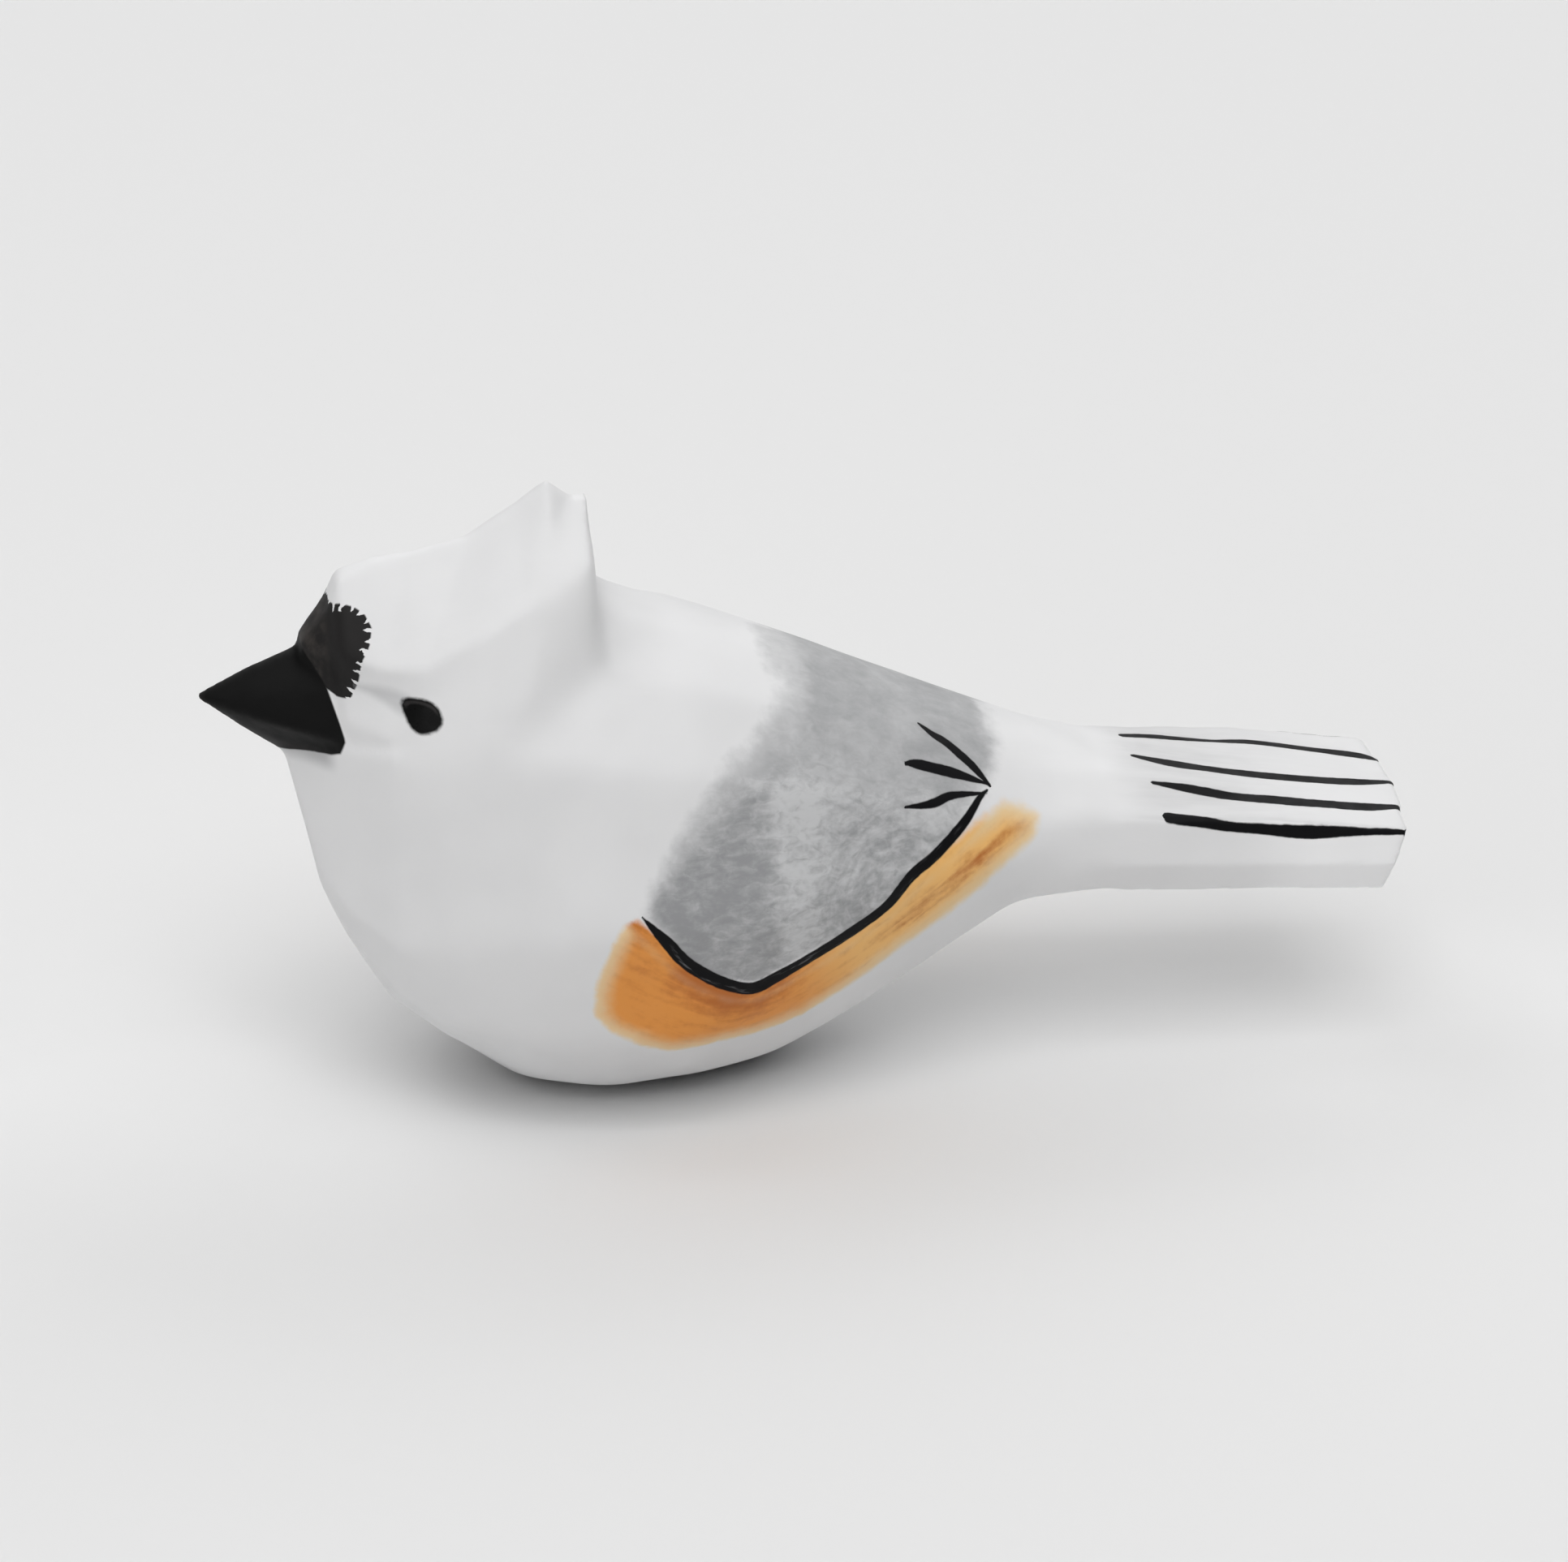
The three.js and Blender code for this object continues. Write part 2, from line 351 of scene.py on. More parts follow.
# %% The painted areas
WING_TOP = 46
WING_FRONT = [
    (10.9, WING_TOP), (10.9, 36), (11.1, 35.4), (12.2, 34.5), (8.6, 32.1), (5.8, 30.8), (3.4, 28.1),
    (1.7, 25.4), (0, 22.9)]
WING_REAR = [(28.9, 26.2), (29.9, 27.2), (29.4, 28.2), (27.9, WING_TOP)]
RUST_LOWER_EDGE = [
    (-1.3, 20.6), (-2.4, 20), (-3.3, 18.3), (-4.5, 14.7), (-4.6, 11.7), (-3.3, 10), (-0.5, 8.3),
    (1.4, 7.5), (4.7, 7.6), (8.8, 7.5), (12.7, 8.6), (16.8, 10.9), (21, 13.9), (25.2, 16.5),
    (28.2, 18.8), (32, 21.7), (32.3, 23), (30.9, 23.9), (29.3, 24.2), (27.4, 23.6)]
wing_edge = [(x, z) for x, z, _ in WING_LINE]
rear_edge = [(x, z) for x, z, _ in FOREHEAD_EDGE]
AREAS = {
    "grey_gap": WING_FRONT + wing_edge + WING_REAR,
    "rust_gap": RUST_LOWER_EDGE + wing_edge[-4:0:-1],
    "forehead_gap": [(-28, 37), (-26.5, 41.6), (-24.6, 41.7), (-23.7, 41.6)] + rear_edge[1:]
                    + [(-23.4, 34.9), (-24.2, 35.3), (-25, 36.2)],
    "beak_gap": [
        (-38, 34), (-34, 38), (-26.6, 38.4), (-25.9, 38), (-24.1, 35.3), (-23.3, 32.9), (-22.9, 31.5),
        (-23.3, 30.4), (-24, 30), (-25.6, 29.6), (-27.5, 29.2), (-29, 28.6), (-38, 33)],
    "eye_gap": [
        (-18.7, 35.9), (-17.6, 36.5), (-16.2, 36.3), (-15.6, 35.4), (-16, 34.5), (-17.2, 33.9),
        (-18.1, 34.3)],
}
print("areas:", sorted(AREAS))

# %% [markdown]
# ## Laying a stroke on the carving
# A stroke has to follow the surface it is painted on. Each drawn wire is made a smooth curve and
# pressed onto the bird by a ray. Every point of the bird then finds the nearest bit of the curve
# and keeps three numbers: how far along the stroke it is, how far to which side, and the
# stroke's half width there. They change evenly over the surface, so a line that is
# thinner than a face still gets a clean edge in the material.

# %% The drawn curve, pressed onto the bird
STEP = 0.15 * MM
START_OUTSIDE = 100 * MM


def smooth_curve(tree, wire):
    curve = add(tree, "GeometryNodeCurveSplineType", {"Curve": wire}, spline_type="CATMULL_ROM").outputs[0]
    return add(tree, "GeometryNodeResampleCurve", {"Curve": curve, "Length": STEP}, mode="LENGTH").outputs[0]


def drawn_wire(tree, drawing):
    wire = add(tree, "GeometryNodeObjectInfo", {"Object": drawing}).outputs["Geometry"]
    return add(tree, "GeometryNodeMeshToCurve", {"Mesh": wire}).outputs[0]


def pressed_on(tree, curve, target, direction):
    place = add(tree, "GeometryNodeInputPosition").outputs[0]
    way_out = vector_maths(tree, "SCALE", direction, START_OUTSIDE)
    ray = add(tree, "GeometryNodeRaycast", {
        "Target Geometry": target, "Source Position": vector_maths(tree, "SUBTRACT", place, way_out),
        "Ray Direction": direction, "Ray Length": 2 * START_OUTSIDE})
    return add(tree, "GeometryNodeSetPosition", {
        "Geometry": curve, "Selection": ray.outputs["Is Hit"],
        "Position": ray.outputs["Hit Position"]}).outputs[0]


# %% [markdown]
# The side that the drawing doesn't show is measured as if it were mirrored, so both wings match.
# Past a stroke's end the half width shrinks as a circle does, which gives a round brush end. Farther
# out it goes below nothing, so that no other bend of the surface is painted by mistake.

# %% The stroke tree
FADE_SLOPE = 4


def stroke_tree():
    tree, given = new_tree("lay a stroke", [
        ("Drawing", "Object"), ("Pressed Along", "Vector"), ("Both Sides", "Float"),
        ("Reach", "Float"), ("Attribute", "String")])
    curve = smooth_curve(tree, drawn_wire(tree, given["Drawing"]))
    laid = pressed_on(tree, curve, given["Bird"], given["Pressed Along"])
    lengths = add(tree, "GeometryNodeSplineParameter").outputs["Length"]
    named = keep_number(tree, laid, "so_far", lengths)
    dots = add(tree, "GeometryNodeCurveToPoints", {"Curve": named}, mode="EVALUATED")

    place = add(tree, "GeometryNodeInputPosition").outputs[0]
    far_side = times(tree, maths(tree, "GREATER_THAN", split(tree, place)[1], 0), given["Both Sides"])
    mirrored = join(tree, 1.0, minus(tree, 1, times(tree, far_side, 2)), 1.0)
    here = vector_maths(tree, "MULTIPLY", place, mirrored)
    outward = add(tree, "GeometryNodeInputNormal").outputs["Normal"]
    outward = vector_maths(tree, "MULTIPLY", outward, mirrored)
    nearest = add(tree, "GeometryNodeSampleNearest", {
        "Geometry": dots.outputs["Points"], "Sample Position": here}).outputs[0]

    def sample(value, kind="FLOAT"):
        return add(tree, "GeometryNodeSampleIndex", {
            "Geometry": dots.outputs["Points"], "Value": value, "Index": nearest},
            data_type=kind).outputs[0]

    def stored(name):
        return add(tree, "GeometryNodeInputNamedAttribute", {"Name": name},
                   data_type="FLOAT").outputs["Attribute"]

    forward = sample(dots.outputs["Tangent"], "FLOAT_VECTOR")
    offset = vector_maths(tree, "SUBTRACT", here, sample(place, "FLOAT_VECTOR"))
    sideways = vector_maths(tree, "NORMALIZE", vector_maths(tree, "CROSS_PRODUCT", outward, forward))
    ahead = vector_maths(tree, "DOT_PRODUCT", offset, forward)
    along = plus(tree, sample(stored("so_far")), ahead)
    across = vector_maths(tree, "DOT_PRODUCT", offset, sideways)
    past_end = largest(tree, minus(tree, maths(tree, "ABSOLUTE", ahead), STEP), 0)
    too_far = largest(tree, minus(tree, vector_maths(tree, "LENGTH", offset), given["Reach"]), 0)
    brush = sample(stored("half_width"))
    rounded = minus(tree, times(tree, brush, brush), times(tree, past_end, past_end))
    half = maths(tree, "SQRT", largest(tree, rounded, 0))
    beyond_cap = largest(tree, minus(tree, past_end, brush), 0)
    half = minus(tree, half, times(tree, plus(tree, beyond_cap, too_far), FADE_SLOPE))
    three = in_mm(tree, join(tree, along, across, half))
    return close_tree(tree, keep_number(tree, given["Bird"], given["Attribute"], three, "FLOAT_VECTOR"))


# %% [markdown]
# ## Measuring a painted area
# An area is drawn in the side view only. The bird is flattened onto that drawing, and each of its
# points keeps its distance from the outline, negative inside. The material can then make
# the edge as crisp or as soft as the brush did.

# %% The area tree
ON_THE_FACE = 0.001 * MM


def area_tree():
    tree, given = new_tree("measure an area", [
        ("Drawing", "Object"), ("Rounded", "Bool"), ("Attribute", "String")])
    straight = drawn_wire(tree, given["Drawing"])
    choice = add(tree, "GeometryNodeSwitch", input_type="GEOMETRY")
    fill(tree, choice.inputs["Switch"], given["Rounded"])
    fill(tree, choice.inputs["False"], straight)
    fill(tree, choice.inputs["True"], smooth_curve(tree, straight))
    outline = choice.outputs[0]
    inside = add(tree, "GeometryNodeFillCurve", {"Curve": outline}, mode="TRIANGLES").outputs[0]
    edge = add(tree, "GeometryNodeCurveToMesh", {"Curve": outline}).outputs[0]

    x, _, z = split(tree, add(tree, "GeometryNodeInputPosition").outputs[0])
    flat = join(tree, x, z, 0.0)

    def distance(target, element):
        return add(tree, "GeometryNodeProximity", {"Target": target, "Source Position": flat},
                   target_element=element).outputs["Distance"]

    is_inside = maths(tree, "LESS_THAN", distance(inside, "FACES"), ON_THE_FACE)
    sign = minus(tree, 1, times(tree, is_inside, 2))
    gap = times(tree, distance(edge, "EDGES"), sign, 1 / MM)
    return close_tree(tree, keep_number(tree, given["Bird"], given["Attribute"], gap))


# %% [markdown]
# ## Laying it all
# Every stroke and area is one modifier on the bird, with its own drawing and its own name for what
# it measures. The wires are needed only until the modifiers are applied.

# %% Drawings as wires
wires = []


def drawing(name, points, closed=False):
    """A wire through the points, with half the brush's width stored on each."""
    mesh = bpy.data.meshes.new(name)
    count = len(points)
    edges = [(i, (i + 1) % count) for i in range(count if closed else count - 1)]
    mesh.from_pydata([Vector(point[:3]) * MM for point in points], edges, [])
    if not closed:
        half = mesh.attributes.new("half_width", "FLOAT", "POINT")
        half.data.foreach_set("value", [point[3] * MM for point in points])
    wire = bpy.data.objects.new(name, mesh)
    bpy.context.scene.collection.objects.link(wire)
    wires.append(wire)
    return wire


# %% Lay every stroke
SIDE_VIEW = (0.0, 1.0, 0.0)
TOP_VIEW = (0.0, 0.0, -1.0)
SLANT = math.sqrt(0.5)
NEAR_EDGE_VIEW = (0.0, SLANT, -SLANT)
FAR_EDGE_VIEW = (0.0, -SLANT, -SLANT)
LINE_REACH = 1.2 * MM
EDGE_REACH = 2.4 * MM
WIDE_REACH = 60 * MM
lay = stroke_tree()


def lay_stroke(name, points, view, reach=LINE_REACH):
    if view == SIDE_VIEW:
        points = [(x, 0, z, half) for x, z, half in points]
    if view == TOP_VIEW:
        points = [(x, y, 0, half) for x, y, half in points]
    use_tree(bird, lay, {
        "Drawing": drawing(name + "_drawing", points), "Pressed Along": view,
        "Both Sides": float(view == SIDE_VIEW), "Reach": reach, "Attribute": name})


lay_stroke("wing_line", WING_LINE, SIDE_VIEW)
for name, points in FEATHERS.items():
    lay_stroke(name, points, SIDE_VIEW)
lay_stroke("rust_sweep", RUST_SWEEP, SIDE_VIEW, WIDE_REACH)
lay_stroke("forehead_edge", FOREHEAD_EDGE, SIDE_VIEW, WIDE_REACH)
lay_stroke("eye_smudge", EYE_HOLLOW_SHADE, SIDE_VIEW, WIDE_REACH)
lay_stroke("tail_line_4", EDGE_LINES["tail_line_4"], NEAR_EDGE_VIEW, EDGE_REACH)
lay_stroke("tail_line_5", EDGE_LINES["tail_line_5"], FAR_EDGE_VIEW, EDGE_REACH)
for name, points in TAIL_LINES.items():
    lay_stroke(name, points, TOP_VIEW)

# %% Measure every area
measure = area_tree()
for name, corners in AREAS.items():
    outline = drawing(name + "_drawing", [(x, z, 0) for x, z in corners], closed=True)
    use_tree(bird, measure, {"Drawing": outline, "Rounded": name == "eye_gap", "Attribute": name})

apply_all(bird)
for wire in wires:
    bpy.data.objects.remove(wire)
kept = [a.name for a in bird.data.attributes if a.domain == "POINT" and not a.is_internal]
print("measured:", sorted(kept))

# %% [markdown]
# ## The paint
# All the colour is one material, because it is all paint on one block. It starts with white and
# adds one layer at a time, as the painter did: grey wings, rust flank, dark forehead, beak, eye
# and lines. Each layer is a mask made from a measured distance, with a little noise where the
# brush wobbled.

# %% Paint colours
WHITE = (0.825, 0.825, 0.83, 1)
WHITE_THIN = (0.755, 0.755, 0.762, 1)
TAIL_SIDE_WHITE = (0.93, 0.93, 0.935, 1)
TAIL_TOP_GREY = (0.66, 0.66, 0.665, 1)
GREY_DARK = (0.32, 0.324, 0.332, 1)
GREY_LIGHT = (0.62, 0.624, 0.63, 1)
RUST_DEEP = (0.5, 0.135, 0.018, 1)
RUST_MID = (0.84, 0.325, 0.06, 1)
RUST_TAN = (0.95, 0.56, 0.19, 1)
RUST_RIM = (0.86, 0.67, 0.4, 1)
FOREHEAD_DARK = (0.02, 0.019, 0.019, 1)
# Painted light: the lighter black of the forehead's front face, where it turns to the lamps.
FOREHEAD_LIT = (0.045, 0.04, 0.037, 1)
BLACK = (0.005, 0.005, 0.005, 1)
# Painted light: the dark grey of the painted highlights and reflection on the beak and the eye.
BLACK_PAINTED_LIGHT = (0.03, 0.028, 0.028, 1)
INK = (0.005, 0.005, 0.006, 1)
INK_DRY = (0.11, 0.11, 0.115, 1)

# %% [markdown]
# The paint's helpers read a measured distance, make noise of a given size in millimetres, and mix
# one colour over another. The pattern sits on Object coordinates, so it stays with the bird.
# x_here runs from beak to tail and z_here upwards. They and all measured distances are in
# millimetres, so a ramp's first two numbers are where on the bird a change starts and ends.

# %% Paint helpers
paint.use_nodes = True
tree = paint.node_tree
tree.nodes.clear()
place = add(tree, "ShaderNodeTexCoord").outputs["Object"]
x_here, _, z_here = split(tree, in_mm(tree, place))


def measured(name, output="Fac"):
    return add(tree, "ShaderNodeAttribute", attribute_name=name).outputs[output]


def noise(size_mm, detail=3, vector=None, roughness=0.5, distortion=0.0, seed=0.0):
    """Noise with features of about this size, from 0 to 1 with 0.5 in the middle."""
    where = vector_maths(tree, "ADD", vector or place, (seed, seed, seed))
    return add(tree, "ShaderNodeTexNoise", {
        "Vector": where, "Scale": 1 / (size_mm * MM), "Detail": detail, "Roughness": roughness,
        "Distortion": distortion}).outputs["Fac"]


def swing(size_mm, **settings):
    """The same noise, swinging round 0."""
    return minus(tree, noise(size_mm, **settings), 0.5)


def wobble(size_mm, amount_mm, **settings):
    return times(tree, swing(size_mm, **settings), 2 * amount_mm)


def ramp(value, start, end, low=0.0, high=1.0):
    return smooth_ramp(tree, value, start, end, low, high)


def inside(gap, edge_width):
    if isinstance(edge_width, bpy.types.NodeSocket):
        return ramp(gap, edge_width, times(tree, edge_width, -1))
    return ramp(gap, edge_width, -edge_width)


def over(below, above, mask):
    mixed = add(tree, "ShaderNodeMix", data_type="RGBA")
    fill(tree, mixed.inputs["Factor"], mask)
    fill(tree, mixed.inputs[6], below)
    fill(tree, mixed.inputs[7], above)
    return mixed.outputs[2]


# %% [markdown]
# ## White coat
# White covers the whole bird, a little thicker in some places than in others, which slow noise
# stands for. The top of the tail is greyer, in long streaks that fade towards the tail's end, and
# the tail's sides are whiter.

# %% White coat
TAIL_START = (38, 43)
TOP_GREY_FADES = (46, 58)
WHITER_SIDE = (47, 56)
coat = ramp(noise(9, detail=2, seed=1.7), 0.3, 0.75, 0.0, 0.5)
colour = over(WHITE, WHITE_THIN, coat)
facing_up = measured("facing_up")
# The tail's upward faces get a greyer tone, and its other faces a whiter one.
tail_top = times(tree, ramp(x_here, *TAIL_START), ramp(facing_up, 0.6, 0.85))
stretched_along = vector_maths(tree, "MULTIPLY", place, (0.12, 1.0, 1.0))
tail_streaks = noise(1.4, detail=4, vector=stretched_along, roughness=0.6, seed=2.9)
top_grey = times(tree, ramp(tail_streaks, 0.3, 0.7, 0.55, 1.0), ramp(x_here, *TOP_GREY_FADES, 1, 0.2))
colour = over(colour, TAIL_TOP_GREY, times(tree, tail_top, top_grey))
tail_side = minus(tree, 1, tail_top)
colour = over(colour, TAIL_SIDE_WHITE, times(tree, tail_side, ramp(x_here, *WHITER_SIDE)))
print("paint nodes, white coat:", len(tree.nodes))

# %% [markdown]
# ## Grey wing: how far the paint reaches
# Towards the front and the tail the grey was brushed out almost dry, so it fades in two steps,
# first quickly, then slowly, and slowest at the lower front. Next to the black line its edge is
# full and crisp. All distances are in millimetres.

# %% Grey wing: how far the paint reaches
QUICK_SHARE = 0.55
SLOW_SHARE = 0.45
SHORT_REACH = -1.3
LONG_REACH = -3.4
LINE_ENDS = (36.5, 34.5)
wing_along, wing_across, _ = split(tree, measured("wing_line", "Vector"))
from_line = maths(tree, "ABSOLUTE", wing_across)
grey_gap = measured("grey_gap")
speck = noise(0.4, detail=3, roughness=0.6, seed=8.2)
broken = plus(tree, grey_gap, wobble(1.7, 0.9, detail=4, roughness=0.62, seed=3.1))
front_reach = ramp(x_here, 13, 19, LONG_REACH, SHORT_REACH)
slow_reach = ramp(z_here, 22, 28, SHORT_REACH, front_reach)
fades = plus(tree, times(tree, inside(broken, 0.8), QUICK_SHARE),
             times(tree, ramp(broken, 0, slow_reach), SLOW_SHARE))
next_to_line = times(tree, ramp(from_line, 3.2, 1.2), ramp(wing_along, 1.5, 4), ramp(wing_along, *LINE_ENDS))
grey_mask = largest(tree, fades, times(tree, inside(grey_gap, 0.12), next_to_line))
print("paint nodes, wing's reach:", len(tree.nodes))

# %% [markdown]
# ## Grey wing: light and dark marks
# The tone runs from 0, dark, to 1, pale. It is even on top. On the side a band of pale dabs crosses
# it, and behind the band bristle marks swing round the wing's lower corner like ripples round a
# point. Where the black line bends, a thin pale thread runs beside it.

# %% Grey wing: bands, ripples and dabs
SWING_CENTRE = (20 * MM, 0, 19.5 * MM)
TURN_SIZE = 1.6 * MM
on_top = largest(tree, ramp(z_here, 29.5, 33), ramp(facing_up, 0.6, 0.8))
on_side = minus(tree, 1, on_top)
across_band = plus(tree, x_here, wobble(1.6, 1.3, detail=4, roughness=0.6, seed=6.4))
band = times(tree, ramp(across_band, 9, 11.6), ramp(across_band, 15.2, 12.6))
from_swing = vector_maths(tree, "SUBTRACT", place, SWING_CENTRE)
from_swing = vector_maths(tree, "MULTIPLY", from_swing, (1.0, 0.0, 1.0))
swing_out = vector_maths(tree, "LENGTH", from_swing)
turn_part = vector_maths(tree, "SCALE", vector_maths(tree, "NORMALIZE", from_swing), TURN_SIZE)
ripple_at = vector_maths(tree, "ADD", turn_part, join(tree, 0.0, swing_out, 0.0))
ripples = times(tree, swing(0.75, detail=2, vector=ripple_at, distortion=0.4, seed=2.6),
                ramp(x_here, 12, 15), ramp(swing_out, 9 * MM, 6 * MM))
dabs_at = vector_maths(tree, "MULTIPLY", place, (0.6, 1.0, 1.2))
dabs = swing(0.9, detail=3, vector=dabs_at, roughness=0.6, distortion=0.6, seed=5.9)
cloud = noise(4.2, detail=4, roughness=0.6, distortion=0.5, seed=5.3)

# %% Grey wing: the tone
# Each pair of shares goes from one place to the other: front to rear, side to top, or plain to band.
FRONT_TONE, BAND_TONE = 0.2, 0.42
BAND_ON_SIDE, BAND_ON_TOP = 0.3, 0.08
REAR_ON_TOP, REAR_ON_SIDE = -0.04, 0.34
DAB_SHARE, DAB_SHARE_IN_BAND = 1.15, 1.7
CLOUD_SHARE = 0.7
CLOUD_MIDDLE = 0.48
SPECK_SHARE = 0.35
MARKS_ON_TOP = 0.3
PALE_RIM_SHARE = 0.8
front_to_band = ramp(across_band, 8, 12, FRONT_TONE, BAND_TONE)
paler_band = times(tree, band, ramp(on_top, 0, 1, BAND_ON_SIDE, BAND_ON_TOP))
paler_rear = times(tree, ramp(x_here, 20, 27), ramp(on_side, 0, 1, REAR_ON_TOP, REAR_ON_SIDE))
darker_top = times(tree, on_top, ramp(x_here, 10, 20, -0.05, -0.02))
paler_high = times(tree, on_side, ramp(z_here, 23, 29, 0, 0.18))
clouds = times(tree, minus(tree, cloud, CLOUD_MIDDLE), CLOUD_SHARE)
specks = times(tree, minus(tree, speck, 0.5), SPECK_SHARE)
marks = plus(tree, times(tree, dabs, ramp(band, 0, 1, DAB_SHARE, DAB_SHARE_IN_BAND)), specks, ripples)
marks = times(tree, marks, ramp(on_top, 0, 1, 1.0, MARKS_ON_TOP))
tone = plus(tree, front_to_band, paler_band, paler_rear, darker_top, paler_high, clouds, marks)
# A thin pale thread beside the black line where it bends.
bend = times(tree, ramp(wing_along, 9, 11), ramp(wing_along, 21, 15))
pale_rim = times(tree, ramp(from_line, 0.95, 0.6), bend, ramp(speck, 0.35, 0.5))
grey = over(GREY_DARK, GREY_LIGHT, ramp(tone, 0, 1))
grey = over(grey, WHITE_THIN, times(tree, pale_rim, PALE_RIM_SHARE))
colour = over(colour, grey, grey_mask)
print("paint nodes, grey wing:", len(tree.nodes))

# %% [markdown]
# ## Rust flank
# The bristle marks run along the sweep of the patch, so the noise is stretched along it. Paint
# gathers next to the wing line and thins to a tan rear arm, with one deep streak in its middle,
# and a yellowish rim.

# %% Rust flank
ALONG_STRETCH, ACROSS_STRETCH = 0.25 * MM, 1.2 * MM
NEAR_LINE_SHARE = 0.6
STREAK_SHARE = 1.5
BLOT_SHARE = 0.9
GRIT_SHARE = 0.4
MIDDLE_SHARE = 0.45
MOST_RUST = 0.9
rust_gap = plus(tree, measured("rust_gap"), wobble(1.4, 0.4, detail=4, roughness=0.6, seed=2.2))
sweep_along, sweep_across, _ = split(tree, measured("rust_sweep", "Vector"))
bristles = join(tree, times(tree, sweep_along, ALONG_STRETCH), times(tree, sweep_across, ACROSS_STRETCH), 0.0)
streaks = swing(0.9, detail=3, vector=bristles, distortion=0.3, seed=4.4)
blots = swing(1.6, detail=4, roughness=0.6, seed=6.8)
near_line = times(tree, ramp(from_line, 0.8, 4.2, 1, 0), ramp(sweep_along, 12, 20, 1, 0),
                  ramp(sweep_along, 2.5, 6, 0.35, 1.6))
middle_streak = times(tree, ramp(maths(tree, "ABSOLUTE", sweep_across), 1.1, 0.3),
                      ramp(sweep_along, 23, 28))
rust_depth = plus(tree, times(tree, near_line, NEAR_LINE_SHARE), times(tree, streaks, STREAK_SHARE),
                  times(tree, blots, BLOT_SHARE), times(tree, minus(tree, speck, 0.5), GRIT_SHARE),
                  times(tree, middle_streak, MIDDLE_SHARE))
rear_arm = ramp(sweep_along, 15, 24)
rust = over(RUST_MID, RUST_TAN, times(tree, rear_arm, MOST_RUST))
rust = over(rust, RUST_DEEP, ramp(rust_depth, -0.1, 1.0, 0.0, MOST_RUST))
rim = times(tree, ramp(rust_gap, -1.9, 0.0), ramp(from_line, 0.8, 1.8))
rust = over(rust, RUST_RIM, times(tree, rim, MOST_RUST))
colour = over(colour, rust, inside(rust_gap, ramp(rear_arm, 0, 1, 0.3, 0.5)))
print("paint nodes, rust flank:", len(tree.nodes))

# %% [markdown]
# ## Forehead
# The brush was pulled back from the beak, so the rear edge ends in short rounded tufts with thin
# gaps. A ping-pong of the distance along the edge repeats the gaps, and noise makes them uneven.

# %% Forehead
TUFT_WIDTH = 0.95
GAP_HALF_WIDTH = 0.24
GAP_DEPTH = 0.75
PAST_THE_EDGE = 6
fore_along, fore_across, _ = split(tree, measured("forehead_edge", "Vector"))
tufts_at = plus(tree, fore_along, wobble(1.1, 0.55, seed=6.1))
to_gap = maths(tree, "PINGPONG", tufts_at, TUFT_WIDTH / 2)
depth = times(tree, ramp(noise(1.3, seed=3.7), 0.3, 0.65, 0.35, GAP_DEPTH),
              ramp(fore_along, 1.4, 2.6, 0.25, 1))
gap = times(tree, ramp(to_gap, GAP_HALF_WIDTH, 0), depth)
ragged_edge = plus(tree, fore_across, gap, wobble(0.45, 0.16, seed=9.4))
ragged_edge = minus(tree, ragged_edge, ramp(fore_along, 0.4, -0.1, 0, PAST_THE_EDGE))
forehead_mask = inside(largest(tree, measured("forehead_gap"), ragged_edge), 0.07)
# Painted light: the forehead's front face, turned to the lamps, is painted a lighter brownish black in
# patches.
lit_front = times(tree, ramp(x_here, -23.6, -24.6), ramp(noise(1.4, detail=4, seed=4.9), 0.35, 0.65))
colour = over(colour, over(FOREHEAD_DARK, FOREHEAD_LIT, lit_front), forehead_mask)
print("paint nodes, forehead:", len(tree.nodes))

# %% [markdown]
# ## Beak and eye
# The beak is black, with a painted dark grey highlight at its tip, a painted reflection of the table
# along the lower bill and painted shade, a thin grey band, under it. The eye is a black dot with a
# painted highlight, a fine paler thread, at its upper edge, and painted shade in the hollow leads
# to it from the forehead.

# %% Beak
# Painted shade under the beak: a soft band of dark grey on the chin.
CHIN_SHADE_SHARE = 0.6
chin_shade = times(tree, ramp(z_here, 28.2, 29.6), ramp(x_here, -23.4, -24.6), ramp(z_here, 31, 30))
colour = over(colour, GREY_DARK, times(tree, chin_shade, CHIN_SHADE_SHARE))
beak_mask = inside(measured("beak_gap"), 0.09)
# Painted light on the beak: a painted reflection of the table along the lower bill and a painted highlight at
# the tip.
lower_bill_reflection = times(tree, ramp(z_here, 30.6, 29.4), 0.6)
tip_highlight = times(tree, ramp(x_here, -33.4, -34.4), 0.8)
colour = over(colour, over(BLACK, BLACK_PAINTED_LIGHT, largest(tree, lower_bill_reflection, tip_highlight)), beak_mask)

# %% Eye
# Painted shade in the eye's hollow: a soft grey band from the forehead to the eye.
HOLLOW_SHADE_SHARE = 0.4
_, shade_across, shade_half = split(tree, measured("eye_smudge", "Vector"))
hollow_shade = inside(minus(tree, maths(tree, "ABSOLUTE", shade_across), shade_half), 0.5)
colour = over(colour, GREY_DARK, times(tree, hollow_shade, HOLLOW_SHADE_SHARE))
eye_gap = measured("eye_gap")
eye_mask = inside(plus(tree, eye_gap, wobble(0.5, 0.1, seed=5.5)), 0.17)
# A painted highlight: a fine paler thread along the eye's upper edge.
eye_glint = times(tree, ramp(eye_gap, -0.55, -0.35), ramp(eye_gap, -0.15, -0.3),
                  ramp(z_here, 35.4, 35.9))
colour = over(colour, over(BLACK, BLACK_PAINTED_LIGHT, eye_glint), eye_mask)
print("paint nodes, beak and eye:", len(tree.nodes))


# %% [markdown]
# ## Lines
# A line is wherever the distance to the side is less than half the brush's width. The edge wobbles
# a very little. Where the brush ran dry, a grey streak shows inside the wing line.

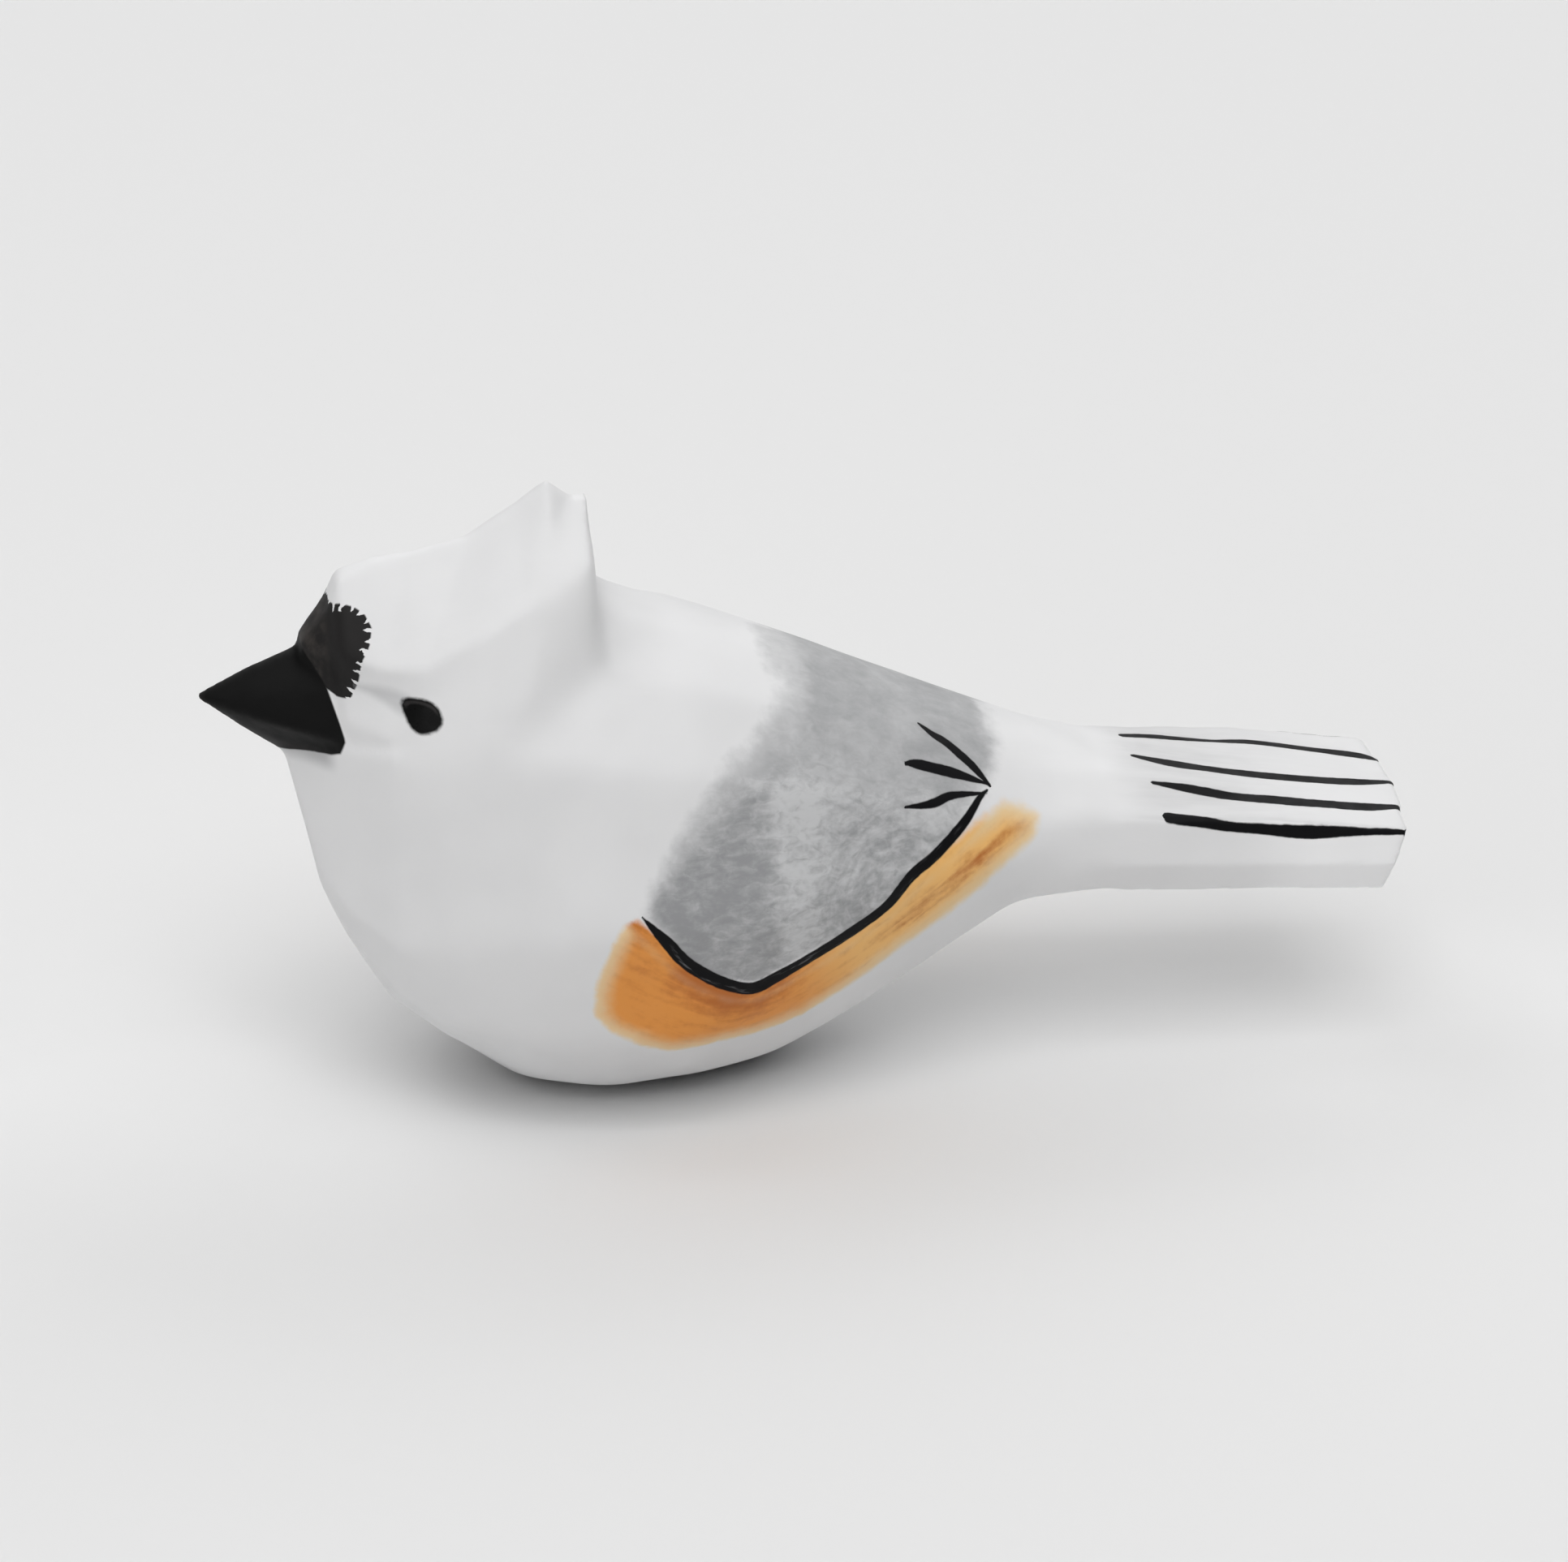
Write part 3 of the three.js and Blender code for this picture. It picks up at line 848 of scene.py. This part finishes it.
# %% Lines
def line_mask(name, softness_mm=0.07, wobble_mm=0.07):
    _, across, half = split(tree, measured(name, "Vector"))
    gap = minus(tree, maths(tree, "ABSOLUTE", across), half)
    return inside(plus(tree, gap, wobble(0.8, wobble_mm, detail=4, seed=7.7)), softness_mm)


line_names = ["wing_line", *FEATHERS, *TAIL_LINES, *EDGE_LINES]
lines = largest(tree, *[line_mask(name) for name in line_names])
in_stroke = join(tree, times(tree, wing_along, 0.22 * MM), times(tree, wing_across, 1.6 * MM), 0.0)
dry = times(tree, ramp(noise(0.7, vector=in_stroke, roughness=0.6, seed=1.3), 0.56, 0.7),
            ramp(wing_along, 2.5, 4.5), ramp(wing_along, 30, 10, 0.25, 1), ramp(from_line, 0.5, 0.35))
colour = over(colour, over(INK, INK_DRY, dry), lines)
print("lines:", len(line_names), "paint nodes:", len(tree.nodes))

# %% [markdown]
# ## Gloss and relief
# White paint has a soft sheen. The black marks are flatter paint, except the eye, and stand a hair
# above the white. Fine brush marks run along the bird, and the dry grey is a little gritty.

# %% Gloss and relief
SMOOTHEST_WHITE, ROUGHEST_WHITE = 0.46, 0.58
EYE_IS_SMOOTHER = 0.25
WHITE_SHEEN = 0.4
SHEEN_LOST_ON_BLACK = 0.3
BRUSH_RELIEF = 0.03
MARK_RELIEF = 0.02
GRIT_RELIEF = 0.02
BUMP_STRENGTH = 0.6
dark_marks = largest(tree, beak_mask, forehead_mask, lines, eye_mask)
rough = ramp(noise(1.5, seed=1.1), 0.3, 0.7, SMOOTHEST_WHITE, ROUGHEST_WHITE)
rough = minus(tree, rough, times(tree, eye_mask, EYE_IS_SMOOTHER))
sheen = minus(tree, WHITE_SHEEN, times(tree, dark_marks, SHEEN_LOST_ON_BLACK))

brushed = vector_maths(tree, "MULTIPLY", place, (0.3, 1.0, 1.0))
relief = plus(tree, times(tree, noise(1.0, vector=brushed, seed=0.4), BRUSH_RELIEF),
              times(tree, dark_marks, MARK_RELIEF), times(tree, speck, grey_mask, GRIT_RELIEF))
bump = add(tree, "ShaderNodeBump", {
    "Height": times(tree, relief, MM), "Strength": BUMP_STRENGTH, "Distance": 1.0}).outputs[0]

shader = add(tree, "ShaderNodeBsdfPrincipled", {
    "Base Color": colour, "Roughness": rough, "Specular IOR Level": sheen, "Normal": bump})
add(tree, "ShaderNodeOutputMaterial", {"Surface": shader.outputs[0]})
bird.data.materials.clear()
bird.data.materials.append(paint)
print("paint nodes in all:", len(tree.nodes))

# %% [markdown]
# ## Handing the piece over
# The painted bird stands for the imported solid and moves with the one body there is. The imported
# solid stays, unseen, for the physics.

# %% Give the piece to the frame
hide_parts("carved_bird")
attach(bird, "root")
print("corners:", len(bird.data.vertices))

# %% [markdown]
# ## Table
# The bird lies on a plain pale table. A small one would show its edge behind the bird, so it
# reaches three metres each way.

# %% Table
TABLE_HALF = 3.0
TABLE_COLOUR = (0.8, 0.8, 0.8, 1)
table_mesh = bpy.data.meshes.new("table_top")
corners = [(-TABLE_HALF, -TABLE_HALF, 0), (TABLE_HALF, -TABLE_HALF, 0),
           (TABLE_HALF, TABLE_HALF, 0), (-TABLE_HALF, TABLE_HALF, 0)]
table_mesh.from_pydata(corners, [], [(0, 1, 2, 3)])
table = bpy.data.objects.new("table_top", table_mesh)
bpy.context.scene.collection.objects.link(table)
table_paint = bpy.data.materials.new("pale_table")
table_paint.use_nodes = True
table_shader = table_paint.node_tree.nodes["Principled BSDF"]
table_shader.inputs["Base Color"].default_value = TABLE_COLOUR
table_shader.inputs["Roughness"].default_value = 0.8
table_shader.inputs["Specular IOR Level"].default_value = 0.1
table_mesh.materials.append(table_paint)
print("table in metres:", 2 * TABLE_HALF)

# %% [markdown]
# ## Light
# One lamp gives one shadow. In a light tent the light comes from cloth walls all round, so here
# broad square lights stand in a ring at several heights. Each is far away and large: far, so the
# table is evenly bright, and large, so shadows have no hard edge. Their powers set which way the
# shadow leans.

# %% Light
LIGHT_DISTANCE = 2.0
LIGHT_SIZE = 1.4
ROOM_LIGHT = 0.01
BIRD_MIDDLE = Vector((0.01, 0, 0.02))
# Degrees round from the camera's side towards the beak, degrees up, and watts.
TENT = {
    "front_high": (0, 60, 16.7), "tail_side_high": (315, 60, 5.1), "over_beak": (90, 75, 6.7),
    "over_tail": (270, 75, 2.6), "beak_side_low": (45, 30, 7.6), "beak_back": (135, 45, 7.0),
    "back_low": (180, 30, 7.7), "tail_back_low": (225, 30, 10.2),
}
world = bpy.data.worlds.new("soft room")
world.use_nodes = True
world.node_tree.nodes["Background"].inputs["Color"].default_value = (1, 1, 1, 1)
world.node_tree.nodes["Background"].inputs["Strength"].default_value = ROOM_LIGHT
bpy.context.scene.world = world


def direction(turn, rise):
    """Points from the bird outwards: turn 0 is the camera's side, and rise is upwards."""
    level = math.cos(rise)
    return Vector((-math.sin(turn) * level, -math.cos(turn) * level, math.sin(rise)))


for name, (turn, rise, watts) in TENT.items():
    towards = direction(math.radians(turn), math.radians(rise))
    lamp_data = bpy.data.lights.new(name, "AREA")
    lamp_data.size = LIGHT_SIZE
    lamp_data.energy = watts
    lamp = bpy.data.objects.new(name, lamp_data)
    lamp.location = BIRD_MIDDLE + towards * LIGHT_DISTANCE
    lamp.rotation_euler = towards.to_track_quat("Z", "Y").to_euler()
    bpy.context.scene.collection.objects.link(lamp)
bpy.context.scene.view_settings.view_transform = "Standard"
print("soft lights:", len(TENT))

# %% [markdown]
# ## Camera
# A long lens from a little above shows the left side and the top of the tail. The camera's place is
# worked out from two angles and a distance, so each can be changed by itself.

# %% Camera
TURN = math.radians(8)
RISE = math.radians(25)
DISTANCE = 0.6
LOOK_AT = Vector((0.013, 0, 0.023))
FOCAL_PIXELS = 9120
IMAGE_WIDTH = 1932
SENSOR = 36

back = direction(TURN, RISE)
camera_data = bpy.data.cameras.new("camera")
camera_data.sensor_width = SENSOR
camera_data.sensor_fit = "HORIZONTAL"
camera_data.lens = FOCAL_PIXELS / IMAGE_WIDTH * SENSOR
camera = bpy.data.objects.new("camera", camera_data)
camera.location = LOOK_AT + back * DISTANCE
camera.rotation_euler = back.to_track_quat("Z", "Y").to_euler()
bpy.context.scene.collection.objects.link(camera)
bpy.context.scene.camera = camera
print("lens in mm:", round(camera_data.lens, 1))
